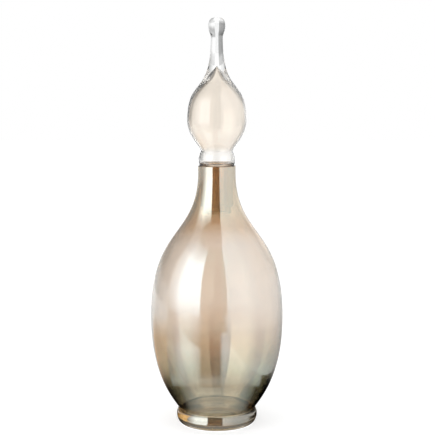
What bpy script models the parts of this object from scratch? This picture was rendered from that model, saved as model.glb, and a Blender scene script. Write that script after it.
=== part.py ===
"""Decorative blown glass bottle with an onion-shaped hollow stopper and its soft seal sleeve.

All sizes are in metres. The bottle stands on the plane Z = 0 with its axis on +Z. Every piece is
turned: its half outline, drawn in the XZ plane, is swept a full turn round that axis.
"""

import math

import bpy
from mathutils import Vector
from mathutils.geometry import interpolate_bezier

# Bottle, outside
RIM_HEIGHT = 0.2890
NECK_RADIUS = 0.0208
NECK_STRAIGHT = 0.0065
RIM_ROUND = 0.0005
BELLY_RADIUS = 0.0738
BELLY_HEIGHT = 0.1215
FOOT_RADIUS = 0.0452
FOOT_WIDEST_HEIGHT = 0.0096
FOOT_HEIGHT = 0.0160
FOOT_PINCH = 0.0035
REST_WIDTH = 0.0060
FOOT_TURN_UNDER = 0.0058
PUNT_DEPTH = 0.0060

# Bottle, inside
BOTTLE_WALL = 0.0024
BASE_WALL = 0.0036
FOOT_HOLLOW_WIDEST_HEIGHT = 0.0070

# Seal sleeve and the gaps it runs in
FIT_GAP = 0.0003
SEAL_WALL = 0.0020
SEAL_LENGTH = 0.0455
SEAL_LEAD_IN = 0.0008

# Stopper, heights above its seat on the rim
STOPPER_HEIGHT = 0.1607
COLLAR_INSET = 0.0007
COLLAR_WIDEST_HEIGHT = 0.0078
COLLAR_HEIGHT = 0.0155
COLLAR_PINCH = 0.0025
COLLAR_TURN_UNDER = 0.0014
COLLAR_WALL = 0.0020
BULB_RADIUS = 0.0325
BULB_WIDEST_HEIGHT = 0.0495
SPIRE_RADIUS = 0.0065
SPIRE_NARROWEST_HEIGHT = 0.1385
BEAD_RADIUS = 0.0092
BEAD_WIDEST_HEIGHT = 0.1518
SHANK_LENGTH = 0.0530
SHANK_WALL = 0.0032
SHANK_ROUND = 0.0008
BULB_WALL = 0.0018
BULB_TIP_HEIGHT = 0.1075

# Sizes that follow from those above
WAIST_RADIUS = FOOT_RADIUS - FOOT_PINCH
REST_OUTER_RADIUS = FOOT_RADIUS - FOOT_TURN_UNDER
REST_INNER_RADIUS = REST_OUTER_RADIUS - REST_WIDTH
BORE_RADIUS = NECK_RADIUS - BOTTLE_WALL
SEAL_OUTER_RADIUS = BORE_RADIUS - FIT_GAP
SEAL_INNER_RADIUS = SEAL_OUTER_RADIUS - SEAL_WALL
SHANK_RADIUS = SEAL_INNER_RADIUS - FIT_GAP
CHANNEL_RADIUS = SHANK_RADIUS - SHANK_WALL
COLLAR_RADIUS = NECK_RADIUS - COLLAR_INSET
SEAT_HEIGHT = RIM_HEIGHT + FIT_GAP

# How far each curve keeps its end direction, as shares of the distance between its ends
SHOULDER_PULL_SHARES = (0.43, 0.59)
LOWER_BODY_PULL_SHARES = (0.55, 0.22)
SPIRE_PULL_SHARES = (0.69, 0.52)
BULB_PULL_SHARES = (0.48, 0.14)
COLLAR_PULL_SHARES = (0.20, 0.60)
BEAD_NECK_PULL_SHARES = (0.55, 0.40)
CAVITY_PULL_SHARES = (0.45, 0.53)
COLLAR_HOLLOW_PULL_SHARES = (0.25, 0.55)

# How far a round corner fills the square one, as shares of its sides: a flatter one, a quarter ellipse,
# a fuller one
FLAT_SHARE = 0.25
QUARTER_SHARE = 0.55
BEAD_SHARE = 0.70

# Directions of an outline as it runs down, as (radius, height)
DOWN = Vector((0, -1))
LOWER_BODY_SLANT = Vector((-0.59, -0.81))
CAVITY_TIP_SLANT = Vector((0.48, -0.88))

# Faces round the axis, and straight runs in each curve of an outline
BOTTLE_SIDES = 52
STOPPER_SIDES = 40
LONG_CURVE_STEPS = 13
WAIST_CURVE_STEPS = 8
SHORT_CURVE_STEPS = 5
ROUND_STEPS = 3
SMOOTH_BELOW = math.radians(35)
AXIS_MERGE = 0.00001

# Colour, roughness and clearness of each material
LUSTRE_COLOUR = (0.62, 0.44, 0.30)
BLUSH_COLOUR = (0.92, 0.84, 0.77)
VINYL_COLOUR = (0.90, 0.88, 0.84)
GLASS_ROUGHNESS = 0.04
VINYL_ROUGHNESS = 0.25
LUSTRE_CLEARNESS = 0.85
BLUSH_CLEARNESS = 0.95
VINYL_CLEARNESS = 0.80


def curve(start, start_direction, end, end_direction, pull_shares, steps):
    """Points along one Bezier curve, which leaves and arrives along the given directions."""
    start = Vector(start)
    end = Vector(end)
    reach = (end - start).length
    start_handle = start + start_direction.normalized() * reach * pull_shares[0]
    end_handle = end - end_direction.normalized() * reach * pull_shares[1]
    return interpolate_bezier(start, start_handle, end_handle, end, steps + 1)


def rounded(start, corner, end, steps, share=QUARTER_SHARE):
    """Points along a round corner that leaves start towards the corner and comes from it to end."""
    start = Vector(start)
    corner = Vector(corner)
    end = Vector(end)
    return interpolate_bezier(start, start.lerp(corner, share), end.lerp(corner, share), end, steps + 1)


def inset(outline, wall):
    """The outline moved towards the axis by the wall, square to its own run at every point."""
    moved = []
    for index, point in enumerate(outline):
        before = outline[max(index - 1, 0)]
        after = outline[min(index + 1, len(outline) - 1)]
        run = (after - before).normalized()
        moved.append(point + Vector((run.y, -run.x)) * wall)
    return moved


def joined(*stretches):
    """One outline from stretches that follow each other, without repeating a shared end."""
    points = []
    for stretch in stretches:
        for point in map(Vector, stretch):
            if not points or (point - points[-1]).length > AXIS_MERGE:
                points.append(point)
    return points


def clear_material(name, colour, roughness, clearness):
    material = bpy.data.materials.new(name)
    material.use_nodes = True
    shader = material.node_tree.nodes["Principled BSDF"]
    shader.inputs["Base Color"].default_value = (*colour, 1)
    shader.inputs["Roughness"].default_value = roughness
    shader.inputs["Metallic"].default_value = 0
    shader.inputs["Transmission Weight"].default_value = clearness
    return material


def turned(name, outline, closed, sides, material, collection):
    """A piece turned round the Z axis from a half outline of (radius, height) points."""
    count = len(outline)
    edges = [(index, index + 1) for index in range(count - 1)]
    if closed:
        edges.append((count - 1, 0))
    mesh = bpy.data.meshes.new(name)
    mesh.from_pydata([(point.x, 0, point.y) for point in outline], edges, [])
    mesh.materials.append(material)
    piece = bpy.data.objects.new(name, mesh)
    collection.objects.link(piece)
    screw = piece.modifiers.new("Turn", "SCREW")
    screw.axis = "Z"
    screw.angle = math.tau
    screw.steps = sides
    screw.render_steps = sides
    screw.use_merge_vertices = True
    screw.merge_threshold = AXIS_MERGE
    bpy.context.view_layer.update()
    evaluated = piece.evaluated_get(bpy.context.evaluated_depsgraph_get())
    surface = bpy.data.meshes.new_from_object(evaluated)
    surface.name = name
    surface.shade_smooth()
    surface.set_sharp_from_angle(angle=SMOOTH_BELOW)
    piece.modifiers.remove(screw)
    piece.data = surface
    bpy.data.meshes.remove(mesh)
    return piece


def bottle_outline():
    """From the middle of the inside floor up the inside, over the rim and down to the underside."""
    neck_foot = (NECK_RADIUS, RIM_HEIGHT - NECK_STRAIGHT)
    belly = (BELLY_RADIUS, BELLY_HEIGHT)
    waist = (WAIST_RADIUS, FOOT_HEIGHT)
    foot = (FOOT_RADIUS, FOOT_WIDEST_HEIGHT)
    rest_outer = (REST_OUTER_RADIUS, 0)
    rest_inner = (REST_INNER_RADIUS, 0)
    shoulder = curve(neck_foot, DOWN, belly, DOWN, SHOULDER_PULL_SHARES, LONG_CURVE_STEPS)
    lower_body = curve(belly, DOWN, waist, LOWER_BODY_SLANT, LOWER_BODY_PULL_SHARES, LONG_CURVE_STEPS)
    foot_top = rounded(waist, (FOOT_RADIUS, FOOT_HEIGHT), foot, ROUND_STEPS)
    foot_under = rounded(foot, (FOOT_RADIUS, 0), rest_outer, SHORT_CURVE_STEPS)
    punt_corner = (REST_INNER_RADIUS - PUNT_DEPTH, PUNT_DEPTH)
    punt = rounded(rest_inner, punt_corner, (0, PUNT_DEPTH), SHORT_CURVE_STEPS)
    neck_top = (NECK_RADIUS, RIM_HEIGHT - RIM_ROUND)
    outside = joined((neck_top,), shoulder, lower_body, foot_top, foot_under, (rest_inner,), punt)

    inner_foot = (FOOT_RADIUS - BOTTLE_WALL, FOOT_HOLLOW_WIDEST_HEIGHT)
    inner_waist = (WAIST_RADIUS - BOTTLE_WALL, FOOT_HEIGHT)
    inner_corner = (FOOT_RADIUS - BOTTLE_WALL, FOOT_HEIGHT)
    floor_corner = (FOOT_RADIUS - BOTTLE_WALL, BASE_WALL)
    floor_edge = (REST_OUTER_RADIUS - BOTTLE_WALL, BASE_WALL)
    wall_inside = inset(joined(shoulder, lower_body), BOTTLE_WALL)
    foot_inside = rounded(inner_waist, inner_corner, inner_foot, ROUND_STEPS, FLAT_SHARE)
    foot_floor = rounded(inner_foot, floor_corner, floor_edge, ROUND_STEPS)
    punt_inside = [point + Vector((0, BASE_WALL)) for point in punt]
    lip = (BORE_RADIUS, RIM_HEIGHT - RIM_ROUND)
    inside = joined((lip,), wall_inside, foot_inside, foot_floor, punt_inside)

    rim = ((BORE_RADIUS + RIM_ROUND, RIM_HEIGHT), (NECK_RADIUS - RIM_ROUND, RIM_HEIGHT))
    return joined(reversed(inside), rim, outside)


def stopper_outline():
    """From the top of the bead down the outside to the end of the shank, then up the inside."""
    bead_top = (0, STOPPER_HEIGHT)
    bead = (BEAD_RADIUS, BEAD_WIDEST_HEIGHT)
    spire = (SPIRE_RADIUS, SPIRE_NARROWEST_HEIGHT)
    bulb = (BULB_RADIUS, BULB_WIDEST_HEIGHT)
    waist = (COLLAR_RADIUS - COLLAR_PINCH, COLLAR_HEIGHT)
    collar = (COLLAR_RADIUS, COLLAR_WIDEST_HEIGHT)
    seat = (COLLAR_RADIUS - COLLAR_TURN_UNDER, 0)
    bead_over = rounded(bead_top, (BEAD_RADIUS, STOPPER_HEIGHT), bead, SHORT_CURVE_STEPS, BEAD_SHARE)
    bead_neck = curve(bead, DOWN, spire, DOWN, BEAD_NECK_PULL_SHARES, SHORT_CURVE_STEPS)
    onion = curve(spire, DOWN, bulb, DOWN, SPIRE_PULL_SHARES, LONG_CURVE_STEPS)
    bulb_under = curve(bulb, DOWN, waist, DOWN, BULB_PULL_SHARES, WAIST_CURVE_STEPS)
    collar_over = curve(waist, DOWN, collar, DOWN, COLLAR_PULL_SHARES, SHORT_CURVE_STEPS)
    collar_under = rounded(collar, (COLLAR_RADIUS, 0), seat, ROUND_STEPS)
    shank = (
        (SHANK_RADIUS, 0),
        (SHANK_RADIUS, SHANK_ROUND - SHANK_LENGTH),
        (SHANK_RADIUS - SHANK_ROUND, -SHANK_LENGTH),
        (CHANNEL_RADIUS, -SHANK_LENGTH),
        (CHANNEL_RADIUS, COLLAR_WALL),
    )
    inner_collar = (COLLAR_RADIUS - COLLAR_WALL, COLLAR_WIDEST_HEIGHT)
    floor_corner = (COLLAR_RADIUS - COLLAR_WALL, COLLAR_WALL)
    floor_edge = (COLLAR_RADIUS - COLLAR_TURN_UNDER - COLLAR_WALL, COLLAR_WALL)
    collar_floor = rounded(inner_collar, floor_corner, floor_edge, ROUND_STEPS)
    cavity_side = inset(bulb_under, BULB_WALL)
    collar_side = curve(cavity_side[-1], DOWN, inner_collar, DOWN, COLLAR_HOLLOW_PULL_SHARES, ROUND_STEPS)
    tip = (0, BULB_TIP_HEIGHT)
    cavity_top = curve(tip, CAVITY_TIP_SLANT, cavity_side[0], DOWN, CAVITY_PULL_SHARES, LONG_CURVE_STEPS)
    outside = joined(bead_over, bead_neck, onion, bulb_under, collar_over, collar_under)
    hollow = joined(cavity_top, cavity_side, collar_side, collar_floor)
    return joined(outside, shank, reversed(hollow))


def seal_outline():
    """Closed loop of the sleeve between the shank and the bore, heights from the stopper's seat."""
    return joined((
        (SEAL_OUTER_RADIUS, -FIT_GAP),
        (SEAL_OUTER_RADIUS, SEAL_LEAD_IN - SEAL_LENGTH),
        (SEAL_OUTER_RADIUS - SEAL_LEAD_IN, -SEAL_LENGTH),
        (SEAL_INNER_RADIUS, -SEAL_LENGTH),
        (SEAL_INNER_RADIUS, -FIT_GAP),
    ))


def build():
    for old in list(bpy.data.objects):
        bpy.data.objects.remove(old)
    pieces = bpy.data.collections.new("decorative_bottle")
    bpy.context.scene.collection.children.link(pieces)

    stopper_axis = bpy.data.objects.new("stopper_axis", None)
    stopper_axis.location.z = SEAT_HEIGHT
    pieces.objects.link(stopper_axis)

    lustre = clear_material("champagne_lustre_glass", LUSTRE_COLOUR, GLASS_ROUGHNESS, LUSTRE_CLEARNESS)
    blush = clear_material("blush_clear_glass", BLUSH_COLOUR, GLASS_ROUGHNESS, BLUSH_CLEARNESS)
    vinyl = clear_material("clear_soft_vinyl", VINYL_COLOUR, VINYL_ROUGHNESS, VINYL_CLEARNESS)

    turned("bottle", bottle_outline(), False, BOTTLE_SIDES, lustre, pieces)
    stopper = turned("stopper", stopper_outline(), False, STOPPER_SIDES, blush, pieces)
    seal = turned("stopper_seal", seal_outline(), True, STOPPER_SIDES, vinyl, pieces)
    for moving_piece in (stopper, seal):
        moving_piece.parent = stopper_axis


build()
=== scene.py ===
"""Blown glass bottle with a hollow onion stopper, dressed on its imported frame, in a pale studio."""
import math

import bpy
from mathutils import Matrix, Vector
from mathutils.geometry import interpolate_bezier


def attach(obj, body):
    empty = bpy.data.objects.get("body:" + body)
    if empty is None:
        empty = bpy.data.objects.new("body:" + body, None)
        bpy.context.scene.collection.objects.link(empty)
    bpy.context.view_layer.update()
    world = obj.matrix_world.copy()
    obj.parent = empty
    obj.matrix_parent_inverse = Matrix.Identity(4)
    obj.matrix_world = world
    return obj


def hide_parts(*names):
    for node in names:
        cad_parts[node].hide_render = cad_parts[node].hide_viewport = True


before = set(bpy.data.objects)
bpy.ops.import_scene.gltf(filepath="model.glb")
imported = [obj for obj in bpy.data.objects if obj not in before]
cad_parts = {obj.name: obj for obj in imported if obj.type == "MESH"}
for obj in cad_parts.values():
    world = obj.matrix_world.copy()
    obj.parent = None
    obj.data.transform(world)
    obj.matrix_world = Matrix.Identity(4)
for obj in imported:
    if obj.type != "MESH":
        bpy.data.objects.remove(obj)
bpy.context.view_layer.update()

# Sizes of the turned pieces, in metres, the same as the frame's
RIM_HEIGHT = 0.2890
NECK_RADIUS = 0.0208
NECK_STRAIGHT = 0.0065
RIM_ROUND = 0.0005
BELLY_RADIUS = 0.0738
BELLY_HEIGHT = 0.1215
FOOT_RADIUS = 0.0452
FOOT_WIDEST_HEIGHT = 0.0096
FOOT_HEIGHT = 0.0160
FOOT_PINCH = 0.0035
FOOT_HOLLOW_WIDEST_HEIGHT = 0.0070
REST_WIDTH = 0.0060
FOOT_TURN_UNDER = 0.0058
PUNT_DEPTH = 0.0060
BOTTLE_WALL = 0.0024
BASE_WALL = 0.0036
FIT_GAP = 0.0003
SEAL_WALL = 0.0020
SEAL_LENGTH = 0.0455
SEAL_LEAD_IN = 0.0008
STOPPER_HEIGHT = 0.1607
COLLAR_INSET = 0.0007
COLLAR_WIDEST_HEIGHT = 0.0078
COLLAR_HEIGHT = 0.0155
COLLAR_PINCH = 0.0025
COLLAR_TURN_UNDER = 0.0014
COLLAR_WALL = 0.0020
BULB_RADIUS = 0.0325
BULB_WIDEST_HEIGHT = 0.0495
SPIRE_RADIUS = 0.0065
SPIRE_NARROWEST_HEIGHT = 0.1385
BEAD_RADIUS = 0.0092
BEAD_WIDEST_HEIGHT = 0.1518
SHANK_LENGTH = 0.0530
SHANK_WALL = 0.0032
SHANK_ROUND = 0.0008
BULB_WALL = 0.0018
BULB_TIP_HEIGHT = 0.1075
TOP_HEIGHT = 0.45

WAIST_RADIUS = FOOT_RADIUS - FOOT_PINCH
REST_OUTER_RADIUS = FOOT_RADIUS - FOOT_TURN_UNDER
REST_INNER_RADIUS = REST_OUTER_RADIUS - REST_WIDTH
BORE_RADIUS = NECK_RADIUS - BOTTLE_WALL
SEAL_OUTER_RADIUS = BORE_RADIUS - FIT_GAP
SEAL_INNER_RADIUS = SEAL_OUTER_RADIUS - SEAL_WALL
SHANK_RADIUS = SEAL_INNER_RADIUS - FIT_GAP
CHANNEL_RADIUS = SHANK_RADIUS - SHANK_WALL
COLLAR_RADIUS = NECK_RADIUS - COLLAR_INSET
SEAT_HEIGHT = RIM_HEIGHT + FIT_GAP

DOWN = Vector((0, -1))
LOWER_BODY_SLANT = Vector((-0.59, -0.81))
CAVITY_TIP_SLANT = Vector((0.48, -0.88))

# Reach of each curve's two handles, as shares of the distance between its ends
SHOULDER_PULLS = (0.43, 0.59)
LOWER_BODY_PULLS = (0.55, 0.22)
BEAD_NECK_PULLS = (0.55, 0.40)
ONION_PULLS = (0.69, 0.52)
BULB_UNDER_PULLS = (0.48, 0.14)
COLLAR_OVER_PULLS = (0.20, 0.60)
CAVITY_TOP_PULLS = (0.45, 0.53)
COLLAR_SIDE_PULLS = (0.25, 0.55)

# How far a rounded stretch leans into its corner
CORNER_SHARE = 0.55
BEAD_SHARE = 0.70
FOOT_HOLLOW_SHARE = 0.25

# Sides round the axis, and steps along the outlines
SIDES = 160
LONG = 44
SHORT = 16
CORNER = 8

# The collar's underside is clear for this many points and brown after them, as painted shade where it
# sits on the rim
CLEAR_COLLAR_POINTS = 5

# Points nearer to each other than this are one point
POINT_GAP = 0.00001

# Material slots. The worked faces are the bottle's resting ring and the stopper's shank. The joint
# faces are the rim's top, brown with the coat's colour and painted shade where the stopper sits, and
# the collar's underside, brown as painted shade
OUTSIDE = 0
COATED = 1
WORKED = 2
JOINT_LUSTRE_AND_SHADE = 3


def placed(name, data):
    """A new object with the data, linked to the scene."""
    piece = bpy.data.objects.new(name, data)
    bpy.context.scene.collection.objects.link(piece)
    return piece


def curve(start, start_direction, end, end_direction, pulls, steps):
    """Outline points from start to end, leaving and arriving in the given directions."""
    start = Vector(start)
    end = Vector(end)
    reach = (end - start).length
    near_start = start + start_direction.normalized() * reach * pulls[0]
    near_end = end - end_direction.normalized() * reach * pulls[1]
    return interpolate_bezier(start, near_start, near_end, end, steps + 1)


def rounded(start, corner, end, steps, share=CORNER_SHARE):
    """Outline points round a corner."""
    start = Vector(start)
    corner = Vector(corner)
    end = Vector(end)
    near_start = start.lerp(corner, share)
    near_end = end.lerp(corner, share)
    return interpolate_bezier(start, near_start, near_end, end, steps + 1)


def inset(outline, wall):
    """The outline moved inwards by the wall."""
    moved = []
    for index, point in enumerate(outline):
        before = outline[max(index - 1, 0)]
        after = outline[min(index + 1, len(outline) - 1)]
        run = (after - before).normalized()
        moved.append(point + Vector((run.y, -run.x)) * wall)
    return moved


def joined(stretches, closed):
    """The points of all stretches, the material slot after each point, and the sharp points."""
    points = []
    slots = []
    sharp_points = set()
    for outline, slot, sharp in stretches:
        for point in map(Vector, outline):
            if not points or (point - points[-1]).length > POINT_GAP:
                if points:
                    slots.append(slot)
                points.append(point)
        if sharp:
            sharp_points.add(len(points) - 1)
    if closed:
        slots.append(stretches[-1][1])
    return points, slots, sharp_points


def ringed(points, lift):
    """A ring of vertices for each point, or one vertex where the point is on the axis."""
    verts = []
    rings = []
    for point in points:
        height = point.y + lift
        if abs(point.x) < POINT_GAP:
            rings.append([len(verts)])
            verts.append((0.0, 0.0, height))
        else:
            rings.append(list(range(len(verts), len(verts) + SIDES)))
            for side in range(SIDES):
                angle = math.tau * side / SIDES
                verts.append((point.x * math.cos(angle), point.x * math.sin(angle), height))
    return verts, rings


def turned(name, stretches, closed=False, lift=0.0):
    """A piece turned round Z. Each stretch is (outline points, material slot, sharp end)."""
    points, slots, sharp_points = joined(stretches, closed)
    verts, rings = ringed(points, lift)
    faces = []
    face_slots = []
    pairs = list(zip(rings, rings[1:]))
    if closed:
        pairs.append((rings[-1], rings[0]))
    for (upper, lower), slot in zip(pairs, slots):
        for side in range(SIDES):
            after = (side + 1) % SIDES
            if len(upper) == 1:
                face = (upper[0], lower[side], lower[after])
            elif len(lower) == 1:
                face = (upper[side], lower[0], upper[after])
            else:
                face = (upper[side], lower[side], lower[after], upper[after])
            faces.append(face)
            face_slots.append(slot)
    mesh = bpy.data.meshes.new(name)
    mesh.from_pydata(verts, [], faces)
    mesh.update()
    mesh.shade_smooth()
    for polygon, slot in zip(mesh.polygons, face_slots):
        polygon.material_index = slot
    sharp_verts = set()
    for index in sharp_points:
        sharp_verts.update(rings[index])
    for edge in mesh.edges:
        if sharp_verts.issuperset(edge.vertices):
            edge.use_edge_sharp = True
    return placed(name, mesh)


def bottle_stretches():
    """From the middle of the floor up the inside, over the rim and down the outside to the punt."""
    neck_foot = (NECK_RADIUS, RIM_HEIGHT - NECK_STRAIGHT)
    belly = (BELLY_RADIUS, BELLY_HEIGHT)
    waist = (WAIST_RADIUS, FOOT_HEIGHT)
    foot = (FOOT_RADIUS, FOOT_WIDEST_HEIGHT)
    rest_outer = (REST_OUTER_RADIUS, 0)
    rest_inner = (REST_INNER_RADIUS, 0)
    shoulder = curve(neck_foot, DOWN, belly, DOWN, SHOULDER_PULLS, LONG)
    lower_body = curve(belly, DOWN, waist, LOWER_BODY_SLANT, LOWER_BODY_PULLS, LONG)
    foot_top = rounded(waist, (FOOT_RADIUS, FOOT_HEIGHT), foot, CORNER)
    foot_under = rounded(foot, (FOOT_RADIUS, 0), rest_outer, SHORT)
    punt_corner = (REST_INNER_RADIUS - PUNT_DEPTH, PUNT_DEPTH)
    punt = rounded(rest_inner, punt_corner, (0, PUNT_DEPTH), SHORT)
    inner_foot = (FOOT_RADIUS - BOTTLE_WALL, FOOT_HOLLOW_WIDEST_HEIGHT)
    inner_waist = (WAIST_RADIUS - BOTTLE_WALL, FOOT_HEIGHT)
    inner_corner = (FOOT_RADIUS - BOTTLE_WALL, FOOT_HEIGHT)
    floor_corner = (FOOT_RADIUS - BOTTLE_WALL, BASE_WALL)
    floor_edge = (REST_OUTER_RADIUS - BOTTLE_WALL, BASE_WALL)
    wall_inside = inset(shoulder + lower_body[1:], BOTTLE_WALL)
    foot_inside = rounded(inner_waist, inner_corner, inner_foot, CORNER, FOOT_HOLLOW_SHARE)
    foot_floor = rounded(inner_foot, floor_corner, floor_edge, CORNER)
    punt_inside = [point + Vector((0, BASE_WALL)) for point in punt]
    inside = [Vector((BORE_RADIUS, RIM_HEIGHT - RIM_ROUND))]
    inside += wall_inside + foot_inside + foot_floor + punt_inside
    inside.reverse()
    rim_in = (BORE_RADIUS + RIM_ROUND, RIM_HEIGHT)
    rim_out = (NECK_RADIUS - RIM_ROUND, RIM_HEIGHT)
    neck_top = (NECK_RADIUS, RIM_HEIGHT - RIM_ROUND)
    # The rim's faces are brown, the coat's colour with painted shade where the stopper sits
    return [
        (inside, COATED, True),
        ([rim_in], JOINT_LUSTRE_AND_SHADE, True),
        ([rim_out], JOINT_LUSTRE_AND_SHADE, True),
        ([neck_top], JOINT_LUSTRE_AND_SHADE, True),
        (shoulder + lower_body, OUTSIDE, True),
        (foot_top + foot_under, OUTSIDE, False),
        ([rest_inner], WORKED, True),
        (punt, OUTSIDE, False),
    ]


def stopper_stretches():
    """From the bead down the outside, under the shank and up the hollow to its point."""
    bead = (BEAD_RADIUS, BEAD_WIDEST_HEIGHT)
    spire = (SPIRE_RADIUS, SPIRE_NARROWEST_HEIGHT)
    bulb = (BULB_RADIUS, BULB_WIDEST_HEIGHT)
    waist = (COLLAR_RADIUS - COLLAR_PINCH, COLLAR_HEIGHT)
    collar = (COLLAR_RADIUS, COLLAR_WIDEST_HEIGHT)
    seat = (COLLAR_RADIUS - COLLAR_TURN_UNDER, 0)
    bead_corner = (BEAD_RADIUS, STOPPER_HEIGHT)
    bead_over = rounded((0, STOPPER_HEIGHT), bead_corner, bead, SHORT, BEAD_SHARE)
    bead_neck = curve(bead, DOWN, spire, DOWN, BEAD_NECK_PULLS, SHORT)
    onion = curve(spire, DOWN, bulb, DOWN, ONION_PULLS, LONG)
    bulb_under = curve(bulb, DOWN, waist, DOWN, BULB_UNDER_PULLS, SHORT)
    collar_over = curve(waist, DOWN, collar, DOWN, COLLAR_OVER_PULLS, CORNER)
    collar_under = rounded(collar, (COLLAR_RADIUS, 0), seat, CORNER)
    cavity_side = inset(bulb_under, BULB_WALL)
    cavity_tip = (0, BULB_TIP_HEIGHT)
    cavity_top = curve(
        cavity_tip, CAVITY_TIP_SLANT, cavity_side[0], DOWN, CAVITY_TOP_PULLS, LONG)
    inner_collar = (COLLAR_RADIUS - COLLAR_WALL, COLLAR_WIDEST_HEIGHT)
    inner_corner = (COLLAR_RADIUS - COLLAR_WALL, COLLAR_WALL)
    floor_edge = (COLLAR_RADIUS - COLLAR_TURN_UNDER - COLLAR_WALL, COLLAR_WALL)
    collar_floor = rounded(inner_collar, inner_corner, floor_edge, CORNER)
    collar_side = curve(cavity_side[-1], DOWN, inner_collar, DOWN, COLLAR_SIDE_PULLS, CORNER)
    hollow = list(reversed(cavity_top + cavity_side + collar_side + collar_floor))
    shank_foot = SHANK_ROUND - SHANK_LENGTH
    clear_face = bead_over + bead_neck + onion + bulb_under + collar_over
    clear_face += collar_under[:CLEAR_COLLAR_POINTS]
    return [
        (clear_face, OUTSIDE, False),
        # The collar's underside past its clear points is brown, painted shade where it sits on the
        # rim
        (collar_under[CLEAR_COLLAR_POINTS:], JOINT_LUSTRE_AND_SHADE, True),
        ([(SHANK_RADIUS, 0)], WORKED, True),
        ([(SHANK_RADIUS, shank_foot)], WORKED, True),
        ([(SHANK_RADIUS - SHANK_ROUND, -SHANK_LENGTH)], WORKED, True),
        ([(CHANNEL_RADIUS, -SHANK_LENGTH)], WORKED, True),
        ([(CHANNEL_RADIUS, COLLAR_WALL)], WORKED, True),
        (hollow, COATED, False),
    ]


def seal_stretches():
    """Down the outside of the sleeve and up its inside."""
    corners = (
        (SEAL_OUTER_RADIUS, -FIT_GAP),
        (SEAL_OUTER_RADIUS, SEAL_LEAD_IN - SEAL_LENGTH),
        (SEAL_OUTER_RADIUS - SEAL_LEAD_IN, -SEAL_LENGTH),
        (SEAL_INNER_RADIUS, -SEAL_LENGTH),
        (SEAL_INNER_RADIUS, -FIT_GAP),
    )
    return [([corner], OUTSIDE, True) for corner in corners]


# Waviness of the blown glass
RIPPLE_SCALE = 22.0
RIPPLE_DETAIL = 1.0
RIPPLE_STRETCH = (1, 1, 0.5)
RIPPLE_HEIGHT = 0.0006
BOTTLE_WAVINESS = 0.25
STOPPER_WAVINESS = 0.05
STOPPER_COAT_WAVINESS = 0.08

# Cloudiness of the coat's colour
CLOUD_SCALE = 14.0
CLOUD_DETAIL = 2.0
CLOUD_DRIFT = 0.03

GLASS_IOR = 1.5
VINYL_IOR = 1.45

# The coat. Its edges begin above the share that glass mirrors face on, and grow by the square root
FACE_ON_FRESNEL = 0.04
EDGE_POWER = 0.5
BOTTLE_EDGE_SHARE = 0.8
STOPPER_EDGE_SHARE = 0.3
COAT_ROUGHNESS = 0.07

CLEAR_TINT = (0.985, 0.99, 0.985)
WHITE = (1, 1, 1, 1)


def new_material(name):
    """A material with an empty node tree."""
    material = bpy.data.materials.new(name)
    material.use_nodes = True
    tree = material.node_tree
    tree.nodes.clear()
    return material, tree


def add(tree, kind, **values):
    node = tree.nodes.new(kind)
    for key, value in values.items():
        setattr(node, key, value)
    return node


def ripple(tree, strength):
    """The faint waviness of hand-blown glass, as a bump."""
    place = add(tree, "ShaderNodeTexCoord")
    mapping = add(tree, "ShaderNodeMapping")
    mapping.inputs["Scale"].default_value = RIPPLE_STRETCH
    noise = add(tree, "ShaderNodeTexNoise")
    noise.inputs["Scale"].default_value = RIPPLE_SCALE
    noise.inputs["Detail"].default_value = RIPPLE_DETAIL
    bump = add(tree, "ShaderNodeBump")
    bump.inputs["Strength"].default_value = strength
    bump.inputs["Distance"].default_value = RIPPLE_HEIGHT
    tree.links.new(place.outputs["Object"], mapping.inputs["Vector"])
    tree.links.new(mapping.outputs["Vector"], noise.inputs["Vector"])
    tree.links.new(noise.outputs["Fac"], bump.inputs["Height"])
    return bump


def clear_glass(name, colour, roughness, ior=GLASS_IOR, waviness=BOTTLE_WAVINESS):
    """Glass or clear vinyl without a coat."""
    material, tree = new_material(name)
    shader = add(tree, "ShaderNodeBsdfPrincipled")
    shader.inputs["Base Color"].default_value = (*colour, 1)
    shader.inputs["Roughness"].default_value = roughness
    shader.inputs["IOR"].default_value = ior
    shader.inputs["Transmission Weight"].default_value = 1.0
    bump = ripple(tree, waviness)
    tree.links.new(bump.outputs["Normal"], shader.inputs["Normal"])
    output = add(tree, "ShaderNodeOutputMaterial")
    tree.links.new(shader.outputs["BSDF"], output.inputs["Surface"])
    return material


def height_ramp(tree, low, high, stops):
    """A colour by the share of the height between low and high, with a faint cloudy drift. Each
    stop is (share, colour)."""
    place = add(tree, "ShaderNodeTexCoord")
    split = add(tree, "ShaderNodeSeparateXYZ")
    cloud = add(tree, "ShaderNodeTexNoise")
    cloud.inputs["Scale"].default_value = CLOUD_SCALE
    cloud.inputs["Detail"].default_value = CLOUD_DETAIL
    height = add(tree, "ShaderNodeMapRange")
    height.inputs["From Min"].default_value = low
    height.inputs["From Max"].default_value = high
    height.inputs["To Min"].default_value = -CLOUD_DRIFT / 2
    height.inputs["To Max"].default_value = 1 - CLOUD_DRIFT / 2
    drift = add(tree, "ShaderNodeMath", operation="MULTIPLY_ADD")
    drift.inputs[1].default_value = CLOUD_DRIFT
    ramp = add(tree, "ShaderNodeValToRGB")
    elements = ramp.color_ramp.elements
    while len(elements) < len(stops):
        elements.new(0.5)
    for element, (share, colour) in zip(elements, stops):
        element.position = share
        element.color = (*colour, 1)
    tree.links.new(place.outputs["Object"], split.inputs["Vector"])
    tree.links.new(place.outputs["Object"], cloud.inputs["Vector"])
    tree.links.new(split.outputs["Z"], height.inputs["Value"])
    tree.links.new(cloud.outputs["Fac"], drift.inputs[0])
    tree.links.new(height.outputs["Result"], drift.inputs[2])
    tree.links.new(drift.outputs["Value"], ramp.inputs["Fac"])
    return ramp.outputs["Color"]


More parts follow.
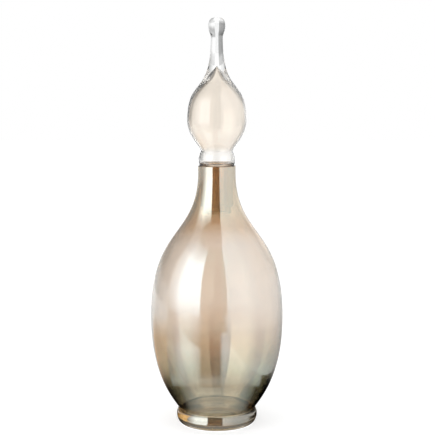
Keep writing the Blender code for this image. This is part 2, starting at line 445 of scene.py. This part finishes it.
def glazed(name, low, high, pass_stops, mirror_stops, edge_stops, edge_share,
           waviness=BOTTLE_WAVINESS):
    """The lustred face of blown glass. The coat tints what passes and throws part of the light
    back, and more of it towards the edges, up to edge_share."""
    material, tree = new_material(name)
    bump = ripple(tree, waviness)
    glass = add(tree, "ShaderNodeBsdfGlass")
    glass.inputs["IOR"].default_value = GLASS_IOR
    glass.inputs["Roughness"].default_value = 0.0
    mirror = add(tree, "ShaderNodeBsdfAnisotropic")
    mirror.inputs["Roughness"].default_value = COAT_ROUGHNESS
    both = add(tree, "ShaderNodeAddShader")
    rim = add(tree, "ShaderNodeBsdfAnisotropic")
    rim.inputs["Roughness"].default_value = COAT_ROUGHNESS
    fresnel = add(tree, "ShaderNodeFresnel")
    fresnel.inputs["IOR"].default_value = GLASS_IOR
    excess = add(tree, "ShaderNodeMapRange")
    excess.inputs["From Min"].default_value = FACE_ON_FRESNEL
    excess.inputs["From Max"].default_value = 1.0
    root = add(tree, "ShaderNodeMath", operation="POWER")
    root.inputs[1].default_value = EDGE_POWER
    share = add(tree, "ShaderNodeMath", operation="MULTIPLY")
    share.inputs[1].default_value = edge_share
    mix = add(tree, "ShaderNodeMixShader")
    output = add(tree, "ShaderNodeOutputMaterial")
    tree.links.new(height_ramp(tree, low, high, pass_stops), glass.inputs["Color"])
    tree.links.new(height_ramp(tree, low, high, mirror_stops), mirror.inputs["Color"])
    tree.links.new(height_ramp(tree, low, high, edge_stops), rim.inputs["Color"])
    for shader in (glass, mirror, rim, fresnel):
        tree.links.new(bump.outputs["Normal"], shader.inputs["Normal"])
    tree.links.new(glass.outputs["BSDF"], both.inputs[0])
    tree.links.new(mirror.outputs["BSDF"], both.inputs[1])
    tree.links.new(fresnel.outputs["Fac"], excess.inputs["Value"])
    tree.links.new(excess.outputs["Result"], root.inputs[0])
    tree.links.new(root.outputs["Value"], share.inputs[0])
    tree.links.new(share.outputs["Value"], mix.inputs["Fac"])
    tree.links.new(both.outputs["Shader"], mix.inputs[1])
    tree.links.new(rim.outputs["BSDF"], mix.inputs[2])
    tree.links.new(mix.outputs["Shader"], output.inputs["Surface"])
    return material


OUTER_GLASS = clear_glass("blown_clear_glass", CLEAR_TINT, roughness=0.0)
STOPPER_GLASS = clear_glass(
    "drawn_clear_glass", CLEAR_TINT, roughness=0.08, waviness=STOPPER_WAVINESS)
GROUND_GLASS = clear_glass("ground_glass_edge", (0.95, 0.95, 0.94), roughness=0.35)
# Brown glass at the joint: on the rim's faces partly the coat's colour and partly painted shade where
# the stopper sits, and under the collar painted shade
RIM_EDGE_LUSTRE_AND_SHADE = clear_glass("rim_edge_lustre_and_painted_shade", (0.42, 0.33, 0.25), roughness=0.3)
SEAT_PAINTED_SHADE = clear_glass("seat_painted_shade", (0.46, 0.36, 0.28), roughness=0.15)

# Shares of the bottle's height, from its underside to its rim, with the light that the coat passes
# there, the light that it throws back, and the light that it throws back at the edges
BOTTLE_PASS = (
    (0.015, (0.62, 0.53, 0.42)),
    (0.035, (0.33, 0.24, 0.165)),
    (0.05, (0.42, 0.33, 0.24)),
    (0.065, (0.74, 0.68, 0.56)),
    (0.085, (0.55, 0.505, 0.42)),
    (0.15, (0.40, 0.33, 0.25)),
    (0.235, (0.45, 0.31, 0.21)),
    (0.30, (0.57, 0.43, 0.32)),
    (0.36, (0.73, 0.585, 0.47)),
    (0.42, (0.81, 0.70, 0.61)),
    (0.71, (0.835, 0.725, 0.64)),
    (0.74, (0.79, 0.65, 0.54)),
    (0.77, (0.70, 0.53, 0.39)),
    (0.83, (0.54, 0.40, 0.28)),
    (0.97, (0.56, 0.41, 0.29)),
)
BOTTLE_MIRROR = (
    (0.045, (0.43, 0.45, 0.42)),
    (0.075, (0.36, 0.40, 0.38)),
    (0.15, (0.40, 0.58, 0.57)),
    (0.235, (0.36, 0.515, 0.525)),
    (0.30, (0.265, 0.375, 0.395)),
    (0.39, (0.14, 0.22, 0.27)),
    (0.71, (0.13, 0.21, 0.26)),
    (0.77, (0.22, 0.29, 0.30)),
    (0.83, (0.45, 0.52, 0.48)),
    (0.97, (0.46, 0.53, 0.50)),
)
BOTTLE_EDGE = (
    (0.05, (0.80, 0.72, 0.60)),
    (0.10, (0.50, 0.43, 0.34)),
    (0.18, (0.46, 0.39, 0.31)),
    (0.25, (0.55, 0.47, 0.38)),
    (0.32, (0.72, 0.62, 0.51)),
    (0.40, (0.82, 0.75, 0.67)),
    (0.48, (0.92, 0.87, 0.81)),
    (0.56, (0.98, 0.93, 0.87)),
    (0.64, (0.95, 0.84, 0.70)),
    (0.71, (0.94, 0.77, 0.60)),
    (0.79, (0.88, 0.70, 0.53)),
    (0.87, (0.80, 0.67, 0.50)),
    (0.97, (0.80, 0.70, 0.56)),
)

# The same for the stopper's hollow, from the rim to the top
BLUSH_PASS = (
    (0.0, (0.985, 0.975, 0.96)),
    (0.09, (0.985, 0.97, 0.95)),
    (0.13, (0.99, 0.94, 0.88)),
    (0.9, (0.99, 0.94, 0.88)),
)
BLUSH_MIRROR = ((0.0, (0.010, 0.012, 0.015)), (0.9, (0.010, 0.012, 0.015)))
BLUSH_EDGE = ((0.0, (0.9, 0.9, 0.9)), (0.9, (0.9, 0.9, 0.9)))

BOTTLE_LUSTRE = glazed(
    "champagne_lustre", 0.0, RIM_HEIGHT, BOTTLE_PASS, BOTTLE_MIRROR, BOTTLE_EDGE,
    BOTTLE_EDGE_SHARE)
STOPPER_LUSTRE = glazed(
    "blush_lustre", RIM_HEIGHT, TOP_HEIGHT, BLUSH_PASS, BLUSH_MIRROR, BLUSH_EDGE,
    STOPPER_EDGE_SHARE, STOPPER_COAT_WAVINESS)
SHANK_GLASS = clear_glass("shank_glass", (0.90, 0.84, 0.76), roughness=0.0)
SEAL_VINYL = clear_glass("clear_soft_vinyl", (0.97, 0.95, 0.92), roughness=0.12, ior=VINYL_IOR)


def dress(node, body, stretches, materials, closed=False, lift=0.0):
    """A turned piece in the place of a frame's node, on its body."""
    piece = turned(node + "_glass", stretches, closed, lift)
    for material in materials:
        piece.data.materials.append(material)
    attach(piece, body)
    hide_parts(node)


dress("bottle", "bottle", bottle_stretches(),
      (OUTER_GLASS, BOTTLE_LUSTRE, GROUND_GLASS, RIM_EDGE_LUSTRE_AND_SHADE))
dress("stopper", "stopper", stopper_stretches(),
      (STOPPER_GLASS, STOPPER_LUSTRE, SHANK_GLASS, SEAT_PAINTED_SHADE),
      lift=SEAT_HEIGHT)
dress("stopper_seal", "seal", seal_stretches(), (SEAL_VINYL,),
      closed=True, lift=SEAT_HEIGHT)

# Backdrop and floor
SKY_SHOWN = 1.0
SKY_LIGHT = 0.7
FLOOR_REACH = 8.0
FLOOR_GREY = (0.80, 0.80, 0.80, 1)
FLOOR_GLOW = 0.54

# Cards, in metres and in degrees round the bottle
CARD_STEPS = 24
SOFTBOX_START = -28.5
SOFTBOX_END = -95
GAP_GLOW = 0.02
BACK_DISTANCE = 1.6
BACK_HEIGHTS = (-0.5, 2.6)
RIGHT_CARD_X = 0.14
RIGHT_CARD_Y = (-0.47, 0.10)
RIGHT_CARD_TOP = 0.9
CEILING_HEIGHT = 2.6
CEILING_REACH = 2
CEILING_GLOW = 0.18
SHEET_HEIGHT = 0.03
SHEET_START = 0.055
BEYOND_X = (-3, 0.6)
BEYOND_Y = -4

# Sectors of the table, with its edge towards the camera. A direction meets the right card as long
# as its backward share is under BESIDE_CARD
TABLE_STEPS = 80
TABLE_REACH = 1.8
FOOT_REACH = 0.10
TABLE_EDGE = 0.275
BY_CARD_EDGE = 0.5
BESIDE_CARD = 0.1
FRONT = (-92, 86)
BY_CARD = (2, 28)
LEFT = (-140, -92)
RIGHT = (86, 140)
REAR_LEFT = (-163, -140)
REAR_RIGHT = (140, 163)

# Heights of the sheets on the table, one just above another
TABLE_HEIGHT = 0.0008
BEYOND_HEIGHT = 0.001
BY_CARD_HEIGHT = 0.0011
BY_FOOT_HEIGHT = 0.0012

# Tops of the value curves, which hold values from 0 to 1
STRENGTH_TOP = 4.0
SHARE_TOP = 2.0

# Camera, as solved from the photograph's ellipses, and lamps
SENSOR_WIDTH = 36.0
LENS = 83.37
CAMERA_PLACE = (0.0007, -1.110, 0.3596)
CAMERA_DOWN = 6.59
LAMP_AIM = (0, 0, 0.2)

# Bounces enough for the many glass faces in the neck
GLASS_BOUNCES = 32
MIRROR_BOUNCES = 10


def shine_paths(tree):
    """1 for rays from the camera, from a mirror or through glass, else 0."""
    path = add(tree, "ShaderNodeLightPath")
    first = add(tree, "ShaderNodeMath", operation="MAXIMUM")
    second = add(tree, "ShaderNodeMath", operation="MAXIMUM")
    tree.links.new(path.outputs["Is Camera Ray"], first.inputs[0])
    tree.links.new(path.outputs["Is Glossy Ray"], first.inputs[1])
    tree.links.new(first.outputs["Value"], second.inputs[0])
    tree.links.new(path.outputs["Is Transmission Ray"], second.inputs[1])
    return second.outputs["Value"]


def make_world():
    """White where it is seen, and softer where it lights dull faces."""
    world = bpy.data.worlds.new("studio")
    bpy.context.scene.world = world
    world.use_nodes = True
    tree = world.node_tree
    tree.nodes.clear()
    shown = add(tree, "ShaderNodeBackground")
    shown.inputs["Color"].default_value = WHITE
    shown.inputs["Strength"].default_value = SKY_SHOWN
    soft = add(tree, "ShaderNodeBackground")
    soft.inputs["Color"].default_value = WHITE
    soft.inputs["Strength"].default_value = SKY_LIGHT
    mix = add(tree, "ShaderNodeMixShader")
    tree.links.new(shine_paths(tree), mix.inputs["Fac"])
    tree.links.new(soft.outputs["Background"], mix.inputs[1])
    tree.links.new(shown.outputs["Background"], mix.inputs[2])
    output = add(tree, "ShaderNodeOutputWorld")
    tree.links.new(mix.outputs["Shader"], output.inputs["Surface"])


def make_floor():
    """A pale floor that glows as the backdrop does where it is seen."""
    mesh = bpy.data.meshes.new("floor")
    signs = ((-1, -1), (1, -1), (1, 1), (-1, 1))
    corners = [(x * FLOOR_REACH, y * FLOOR_REACH, 0) for x, y in signs]
    mesh.from_pydata(corners, [], [(0, 1, 2, 3)])
    floor = placed("floor", mesh)
    material, tree = new_material("pale_floor")
    diffuse = add(tree, "ShaderNodeBsdfDiffuse")
    diffuse.inputs["Color"].default_value = FLOOR_GREY
    glow = add(tree, "ShaderNodeEmission")
    glow.inputs["Color"].default_value = WHITE
    strength = add(tree, "ShaderNodeMath", operation="MULTIPLY")
    strength.inputs[1].default_value = FLOOR_GLOW
    tree.links.new(shine_paths(tree), strength.inputs[0])
    tree.links.new(strength.outputs["Value"], glow.inputs["Strength"])
    both = add(tree, "ShaderNodeAddShader")
    tree.links.new(diffuse.outputs["BSDF"], both.inputs[0])
    tree.links.new(glow.outputs["Emission"], both.inputs[1])
    output = add(tree, "ShaderNodeOutputMaterial")
    tree.links.new(both.outputs["Shader"], output.inputs["Surface"])
    floor.data.materials.append(material)


def around(azimuth, distance, height):
    """A point round the bottle: azimuth 0 is towards the camera, positive to its right."""
    angle = math.radians(azimuth)
    return Vector((distance * math.sin(angle), -distance * math.cos(angle), height))


def float_curve(tree, source, spots, top=STRENGTH_TOP):
    """A value by straight lines through spots (place, value). Values may go up to top."""
    low = spots[0][0]
    high = spots[-1][0]
    place = add(tree, "ShaderNodeMapRange")
    place.inputs["From Min"].default_value = low
    place.inputs["From Max"].default_value = high
    level = add(tree, "ShaderNodeFloatCurve")
    points = level.mapping.curves[0].points
    while len(points) < len(spots):
        points.new(0.5, 0.5)
    for point, (spot, value) in zip(points, spots):
        point.location = ((spot - low) / (high - low), value / top)
        point.handle_type = "VECTOR"
    level.mapping.update()
    times = add(tree, "ShaderNodeMath", operation="MULTIPLY")
    times.inputs[1].default_value = top
    tree.links.new(source, place.inputs["Value"])
    tree.links.new(place.outputs["Result"], level.inputs["Value"])
    tree.links.new(level.outputs["Value"], times.inputs[0])
    return times.outputs["Value"]


def studio_sheet(name, verts, faces, uvs, glow_by, plain_through=False, tint=(1, 1, 1),
                 front_only=False):
    """A studio card that shows in mirrors and through glass only. With plain_through, a view
    straight through the glass sees white there, as from the backdrop. With front_only its back is
    clear."""
    mesh = bpy.data.meshes.new(name)
    mesh.from_pydata(verts, [], faces)
    layer = mesh.uv_layers.new(name="UVMap")
    for loop in mesh.loops:
        layer.data[loop.index].uv = uvs[loop.vertex_index]
    piece = placed(name, mesh)
    material, tree = new_material(name)
    glow = add(tree, "ShaderNodeEmission")
    glow.inputs["Color"].default_value = (*tint, 1)
    seen = add(tree, "ShaderNodeMix")
    seen.inputs["A"].default_value = 1.0
    seen.inputs["Factor"].default_value = 1.0
    glow_by(tree, seen.inputs["B"], glow.inputs["Color"])
    if plain_through:
        path = add(tree, "ShaderNodeLightPath")
        mirrored = add(tree, "ShaderNodeMath", operation="MINIMUM")
        mirrored.inputs[1].default_value = 1.0
        tree.links.new(path.outputs["Glossy Depth"], mirrored.inputs[0])
        tree.links.new(mirrored.outputs["Value"], seen.inputs["Factor"])
    tree.links.new(seen.outputs["Result"], glow.inputs["Strength"])
    output = add(tree, "ShaderNodeOutputMaterial")
    tree.links.new(glow.outputs["Emission"], output.inputs["Surface"])
    if front_only:
        side = add(tree, "ShaderNodeNewGeometry")
        clear = add(tree, "ShaderNodeBsdfTransparent")
        sides = add(tree, "ShaderNodeMixShader")
        tree.links.new(side.outputs["Backfacing"], sides.inputs["Fac"])
        tree.links.new(glow.outputs["Emission"], sides.inputs[1])
        tree.links.new(clear.outputs["BSDF"], sides.inputs[2])
        tree.links.new(sides.outputs["Shader"], output.inputs["Surface"])
    piece.data.materials.append(material)
    piece.visible_camera = False
    piece.visible_diffuse = False
    piece.visible_shadow = False
    piece.visible_volume_scatter = False


def card_glow(along, upward=((0.0, 1.0), (1.0, 1.0))):
    """A glow by its strength along U, times a share up V."""
    def link(tree, strength, colour):
        place = add(tree, "ShaderNodeUVMap")
        split = add(tree, "ShaderNodeSeparateXYZ")
        times = add(tree, "ShaderNodeMath", operation="MULTIPLY")
        tree.links.new(place.outputs["UV"], split.inputs["Vector"])
        tree.links.new(float_curve(tree, split.outputs["X"], along), times.inputs[0])
        tree.links.new(float_curve(tree, split.outputs["Y"], upward), times.inputs[1])
        tree.links.new(times.outputs["Value"], strength)
    return link


def even_glow(level):
    """The same glow all over a card."""
    def link(tree, strength, colour):
        strength.default_value = level
    return link


def ground_glow(lit, unlit_level, lit_level, tint=None):
    """The glow of the ground as the coat mirrors it. lit is its lit share by azimuth in degrees,
    and the levels go by the distance from the axis in metres. tint is (its colour near by, where
    it starts to fade to white, where it is white)."""
    def link(tree, strength, colour):
        place = add(tree, "ShaderNodeTexCoord")
        split = add(tree, "ShaderNodeSeparateXYZ")
        front = add(tree, "ShaderNodeMath", operation="MULTIPLY")
        front.inputs[1].default_value = -1.0
        turn = add(tree, "ShaderNodeMath", operation="ARCTAN2")
        reach = add(tree, "ShaderNodeVectorMath", operation="LENGTH")
        both = add(tree, "ShaderNodeMix")
        tree.links.new(place.outputs["Object"], split.inputs["Vector"])
        tree.links.new(place.outputs["Object"], reach.inputs[0])
        tree.links.new(split.outputs["Y"], front.inputs[0])
        tree.links.new(split.outputs["X"], turn.inputs[0])
        tree.links.new(front.outputs["Value"], turn.inputs[1])
        spots = [(math.radians(azimuth), share) for azimuth, share in lit]
        lit_share = float_curve(tree, turn.outputs["Value"], spots, SHARE_TOP)
        tree.links.new(lit_share, both.inputs["Factor"])
        tree.links.new(float_curve(tree, reach.outputs["Value"], unlit_level), both.inputs["A"])
        tree.links.new(float_curve(tree, reach.outputs["Value"], lit_level), both.inputs["B"])
        tree.links.new(both.outputs["Result"], strength)
        if tint:
            near_colour, fade_from, fade_to = tint
            fade = add(tree, "ShaderNodeMapRange")
            fade.inputs["From Min"].default_value = fade_from
            fade.inputs["From Max"].default_value = fade_to
            shade = add(tree, "ShaderNodeMix", data_type="RGBA")
            shade.inputs["A"].default_value = (*near_colour, 1)
            shade.inputs["B"].default_value = WHITE
            tree.links.new(reach.outputs["Value"], fade.inputs["Value"])
            tree.links.new(fade.outputs["Result"], shade.inputs["Factor"])
            tree.links.new(shade.outputs["Result"], colour)
    return link


def bent_strip(azimuths, edges):
    """Vertices and UVs of a strip bent round the bottle. Each of its two edges is
    (distance, height)."""
    verts = []
    uvs = []
    for step in range(CARD_STEPS + 1):
        azimuth = azimuths[0] + (azimuths[1] - azimuths[0]) * step / CARD_STEPS
        for row, (distance, height) in enumerate(edges):
            verts.append(around(azimuth, distance, height))
            uvs.append((step / CARD_STEPS, row))
    return verts, uvs


def card(name, azimuths, heights, distance, glow_by, plain_through=False):
    """A card bent round the bottle, from one azimuth to another and from one height to another."""
    verts, uvs = bent_strip(azimuths, [(distance, height) for height in heights])
    faces = [(2 * i, 2 * i + 2, 2 * i + 3, 2 * i + 1) for i in range(CARD_STEPS)]
    studio_sheet(name, verts, faces, uvs, glow_by, plain_through)


def ring_card(name, azimuths, reach_to, glow_by, tint):
    """A level card that is lit on its underside and clear from above, as long as its second azimuth
    is the lower one."""
    edges = [(SHEET_START, SHEET_HEIGHT), (reach_to, SHEET_HEIGHT)]
    verts, uvs = bent_strip(azimuths, edges)
    faces = [(2 * i, 2 * i + 1, 2 * i + 3, 2 * i + 2) for i in range(CARD_STEPS)]
    studio_sheet(name, verts, faces, uvs, glow_by, tint=tint, front_only=True)


def flat_card(name, corners, glow_by, plain_through=False):
    """A flat card. Its first two corners are at U = 0 and its last two at U = 1."""
    uvs = [(0, 0), (0, 1), (1, 1), (1, 0)]
    studio_sheet(name, corners, [(0, 1, 2, 3)], uvs, glow_by, plain_through)


def table_card(name, azimuths, glow_by, reach_to=TABLE_REACH, height=TABLE_HEIGHT,
               edge=TABLE_EDGE, plain_through=False):
    """A sector of the table, up to its straight front edge and the right card."""
    verts = [(0, 0, height)]
    for step in range(TABLE_STEPS + 1):
        azimuth = azimuths[0] + (azimuths[1] - azimuths[0]) * step / TABLE_STEPS
        direction = around(azimuth, 1.0, 0.0)
        reach = reach_to
        if direction.y < 0:
            reach = min(reach, -edge / direction.y)
        if direction.x > 0 and direction.y < BESIDE_CARD:
            reach = min(reach, RIGHT_CARD_X / direction.x)
        verts.append((direction.x * reach, direction.y * reach, height))
    faces = [(0, index, index + 1) for index in range(1, TABLE_STEPS + 1)]
    studio_sheet(name, verts, faces, [(0.5, 0.5)] * len(verts), glow_by, plain_through)


def lamp(name, azimuth, distance, height, size, power):
    """A lamp that shows neither in mirrors nor through glass."""
    data = bpy.data.lights.new(name, "AREA")
    data.shape = "RECTANGLE"
    data.size = size[0]
    data.size_y = size[1]
    data.energy = power
    piece = placed(name, data)
    piece.location = around(azimuth, distance, height)
    aim = Vector(LAMP_AIM) - piece.location
    piece.rotation_euler = aim.to_track_quat("-Z", "Y").to_euler()
    piece.visible_glossy = False
    piece.visible_transmission = False
    piece.visible_camera = False


def make_camera():
    data = bpy.data.cameras.new("camera")
    data.sensor_width = SENSOR_WIDTH
    data.lens = LENS
    piece = placed("camera", data)
    piece.location = CAMERA_PLACE
    piece.rotation_euler = (math.radians(90 - CAMERA_DOWN), 0, 0)
    bpy.context.scene.camera = piece


def set_light_paths():
    cycles = bpy.context.scene.cycles
    cycles.max_bounces = GLASS_BOUNCES
    cycles.transmission_bounces = GLASS_BOUNCES
    cycles.glossy_bounces = MIRROR_BOUNCES


# Lit shares of the ground by azimuth, and its levels by the distance from the axis. The levels fall
# to nothing near the axis as painted shade of the bottle on the table, and the lit shares are painted
# reflections in the table, bright off the softbox and dark at the camera's gap
TABLE_LIT = (
    (-92, 0.33), (-80, 0.4), (-72, 0.55), (-65, 0.87), (-58, 1.0), (-43, 1.0), (-33, 0.8),
    (-28, 0.55), (-24, 0.0), (4, 0.0), (8.5, 0.8), (14, 0.9), (23, 0.8), (33, 0.88), (45, 1.05),
    (58, 0.95), (72, 0.8), (86, 0.62),
)
TABLE_UNLIT_LEVEL = (
    (0.0, 0.0), (0.10, 0.06), (0.115, 0.24), (0.125, 0.22), (0.15, 0.04), (2.0, 0.02),
)
TABLE_LIT_LEVEL = (
    (0.0, 0.0), (0.08, 0.04), (0.095, 0.18), (0.12, 0.4), (0.15, 0.52), (0.19, 0.70),
    (0.235, 0.84), (0.29, 1.02), (0.4, 0.85), (2.0, 0.8),
)
FOOT_LIT = (
    (-92, 0.0), (-74, 0.0), (-67, 0.2), (-58, 0.5), (-45, 0.9), (-30, 1.0), (50, 1.0), (58, 0.7),
    (68, 0.3), (76, 0.0), (86, 0.0),
)
FOOT_LIT_LEVEL = ((0.0, 0.25), (0.08, 0.24), (0.10, 0.22), (2.0, 0.2))
LEFT_LIT = ((-140, 1.0), (-125, 0.75), (-105, 0.7), (-92, 0.65))
LEFT_LIT_LEVEL = (
    (0.0, 0.0), (0.10, 0.03), (0.125, 0.2), (0.16, 0.65), (0.22, 0.9), (0.37, 0.8), (0.6, 0.9),
    (2.0, 0.95),
)
RIGHT_LIT = ((86, 0.85), (105, 0.8), (125, 0.8), (140, 1.0))
RIGHT_LIT_LEVEL = (
    (0.0, 0.0), (0.10, 0.0), (0.13, 0.02), (0.17, 0.3), (0.22, 0.6), (0.24, 0.5), (0.37, 0.5),
    (0.6, 0.65), (2.0, 0.75),
)
REAR_LEFT_LIT = ((-163, 1.0), (-160, 0.6), (-156, 0.3), (-150, 0.1), (-140, 0.0))
REAR_RIGHT_LIT = ((140, 0.0), (150, 0.1), (156, 0.3), (160, 0.6), (163, 1.0))
BEYOND_LIT = (
    (-100, 0.3), (-90, 0.35), (-75, 0.5), (-65, 1.0), (-51, 1.0), (-40, 0.85), (-33, 0.7),
    (-28, 0.4), (-24, 0.0), (11, 0.0), (18, 0.6), (100, 0.8),
)
BEYOND_LIT_LEVEL = ((0.0, 0.3), (0.35, 0.4), (0.49, 0.55), (0.65, 0.7), (1.4, 1.2), (6.0, 1.4))
BEYOND_UNLIT_LEVEL = ((0.0, 0.02), (6.0, 0.02))
NONE_LEVEL = ((0.0, 0.0), (2.0, 0.0))
FULL_LEVEL = ((0.0, 1.0), (2.0, 1.0))
# Painted amber light on the table's left, thrown through the bottle's coat: its colour near by, where
# it starts to fade to white, and where it is white
AMBER_CAUSTIC_TINT = ((1.0, 0.76, 0.55), 0.38, 0.72)

# Strengths along the cards and shares up them
SOFTBOX_ALONG = ((0.0, 1.9), (0.60, 1.9), (0.75, 1.15), (0.90, 0.8), (1.0, 0.6))
SOFTBOX_UP = (
    (0.0, 0.35), (0.075, 0.6), (0.15, 0.9), (0.24, 1.0), (0.58, 1.0), (0.725, 0.65),
    (0.865, 0.4), (1.0, 0.2),
)
LEFT_GAP_ALONG = (
    (0.0, 0.5), (0.2, 0.4), (0.35, 0.36), (0.5, 0.4), (0.6, 0.5), (0.8, 0.55), (1.0, 0.6),
)
LEFT_GAP_UP = (
    (0.0, 1.0), (0.12, 1.0), (0.17, 1.15), (0.235, 1.15), (0.262, 0.72), (0.3, 0.68),
    (0.37, 0.72), (0.43, 0.68), (0.5, 0.58), (0.7, 0.3), (1.0, 0.2),
)
RIGHT_GAP_ALONG = ((0.0, 0.8), (0.4, 0.9), (1.0, 1.0))
RIGHT_GAP_UP = (
    (0.0, 0.7), (0.17, 0.72), (0.25, 0.85), (0.275, 1.1), (0.33, 1.05), (0.37, 0.8),
    (0.42, 0.55), (0.5, 0.55), (0.58, 0.65), (1.0, 0.8),
)
RIGHT_CARD_ALONG = ((0.0, 0.8), (0.5, 0.88), (0.75, 0.8), (1.0, 0.7))
RIGHT_CARD_UP = ((0.0, 0.72), (0.06, 0.8), (0.12, 0.92), (0.2, 1.0), (1.0, 1.0))
# Strength along the amber sheet that puts a painted orange glint in the foot
AMBER_GLINT_ALONG = ((0.0, 1.3), (0.25, 1.4), (0.6, 0.95), (1.0, 0.3))
SHADE_ALONG = ((0.0, 0.02), (0.65, 0.02), (0.85, 0.15), (1.0, 0.45))

CEILING_CORNERS = [
    (-CEILING_REACH, -CEILING_REACH, CEILING_HEIGHT),
    (-CEILING_REACH, CEILING_REACH, CEILING_HEIGHT),
    (CEILING_REACH, CEILING_REACH, CEILING_HEIGHT),
    (CEILING_REACH, -CEILING_REACH, CEILING_HEIGHT),
]
RIGHT_CARD_CORNERS = [
    (RIGHT_CARD_X, RIGHT_CARD_Y[0], 0),
    (RIGHT_CARD_X, RIGHT_CARD_Y[0], RIGHT_CARD_TOP),
    (RIGHT_CARD_X, RIGHT_CARD_Y[1], RIGHT_CARD_TOP),
    (RIGHT_CARD_X, RIGHT_CARD_Y[1], 0),
]
BEYOND_CORNERS = [
    (BEYOND_X[0], BEYOND_Y, BEYOND_HEIGHT),
    (BEYOND_X[0], -TABLE_EDGE, BEYOND_HEIGHT),
    (BEYOND_X[1], -TABLE_EDGE, BEYOND_HEIGHT),
    (BEYOND_X[1], BEYOND_Y, BEYOND_HEIGHT),
]

TABLE_GLOW = ground_glow(TABLE_LIT, TABLE_UNLIT_LEVEL, TABLE_LIT_LEVEL)
FOOT_GLOW = ground_glow(FOOT_LIT, NONE_LEVEL, FOOT_LIT_LEVEL)
BEYOND_GLOW = ground_glow(BEYOND_LIT, BEYOND_UNLIT_LEVEL, BEYOND_LIT_LEVEL)
LEFT_GLOW = ground_glow(LEFT_LIT, NONE_LEVEL, LEFT_LIT_LEVEL, AMBER_CAUSTIC_TINT)
RIGHT_GLOW = ground_glow(RIGHT_LIT, NONE_LEVEL, RIGHT_LIT_LEVEL)
REAR_LEFT_GLOW = ground_glow(REAR_LEFT_LIT, LEFT_LIT_LEVEL, FULL_LEVEL)
REAR_RIGHT_GLOW = ground_glow(REAR_RIGHT_LIT, RIGHT_LIT_LEVEL, FULL_LEVEL)

make_world()
make_floor()
make_camera()
set_light_paths()
card("left_softbox", azimuths=(SOFTBOX_START, SOFTBOX_END), heights=(-0.14, 2.0), distance=1.3,
     glow_by=card_glow(SOFTBOX_ALONG, SOFTBOX_UP), plain_through=True)
card("camera_gap", azimuths=(SOFTBOX_START, 18), heights=(-6.0, 6.0), distance=1.5,
     glow_by=even_glow(GAP_GLOW), plain_through=True)
card("left_gap", azimuths=(SOFTBOX_END, -170), heights=BACK_HEIGHTS, distance=BACK_DISTANCE,
     glow_by=card_glow(LEFT_GAP_ALONG, LEFT_GAP_UP))
card("right_gap", azimuths=(125, 170), heights=BACK_HEIGHTS, distance=BACK_DISTANCE,
     glow_by=card_glow(RIGHT_GAP_ALONG, RIGHT_GAP_UP))
# An amber glowing sheet beside the foot's left, for a painted orange glint in the foot
ring_card("amber_glint_sheet", azimuths=(-79, -140), reach_to=0.5,
          glow_by=card_glow(AMBER_GLINT_ALONG), tint=(1.0, 0.6, 0.25))
ring_card("shade_sheet", azimuths=(160, 88), reach_to=1.2,
          glow_by=card_glow(SHADE_ALONG), tint=(0.96, 1.0, 0.96))
flat_card("ceiling", CEILING_CORNERS, even_glow(CEILING_GLOW))
flat_card("right_card", RIGHT_CARD_CORNERS, card_glow(RIGHT_CARD_ALONG, RIGHT_CARD_UP),
          plain_through=True)
flat_card("beyond_card", BEYOND_CORNERS, BEYOND_GLOW, plain_through=True)
table_card("table_front", FRONT, TABLE_GLOW, plain_through=True)
table_card("table_by_foot", FRONT, FOOT_GLOW, reach_to=FOOT_REACH, height=BY_FOOT_HEIGHT)
table_card("table_by_card", BY_CARD, TABLE_GLOW, height=BY_CARD_HEIGHT, edge=BY_CARD_EDGE,
           plain_through=True)
table_card("table_left", LEFT, LEFT_GLOW)
table_card("table_right", RIGHT, RIGHT_GLOW)
table_card("table_rear_left", REAR_LEFT, REAR_LEFT_GLOW)
table_card("table_rear_right", REAR_RIGHT, REAR_RIGHT_GLOW)
lamp("key", azimuth=-55, distance=1.4, height=0.9, size=(0.7, 1.0), power=4.0)
lamp("fill", azimuth=60, distance=1.5, height=0.8, size=(0.8, 1.0), power=2.5)

scene = bpy.context.scene
scene.view_settings.view_transform = "Standard"
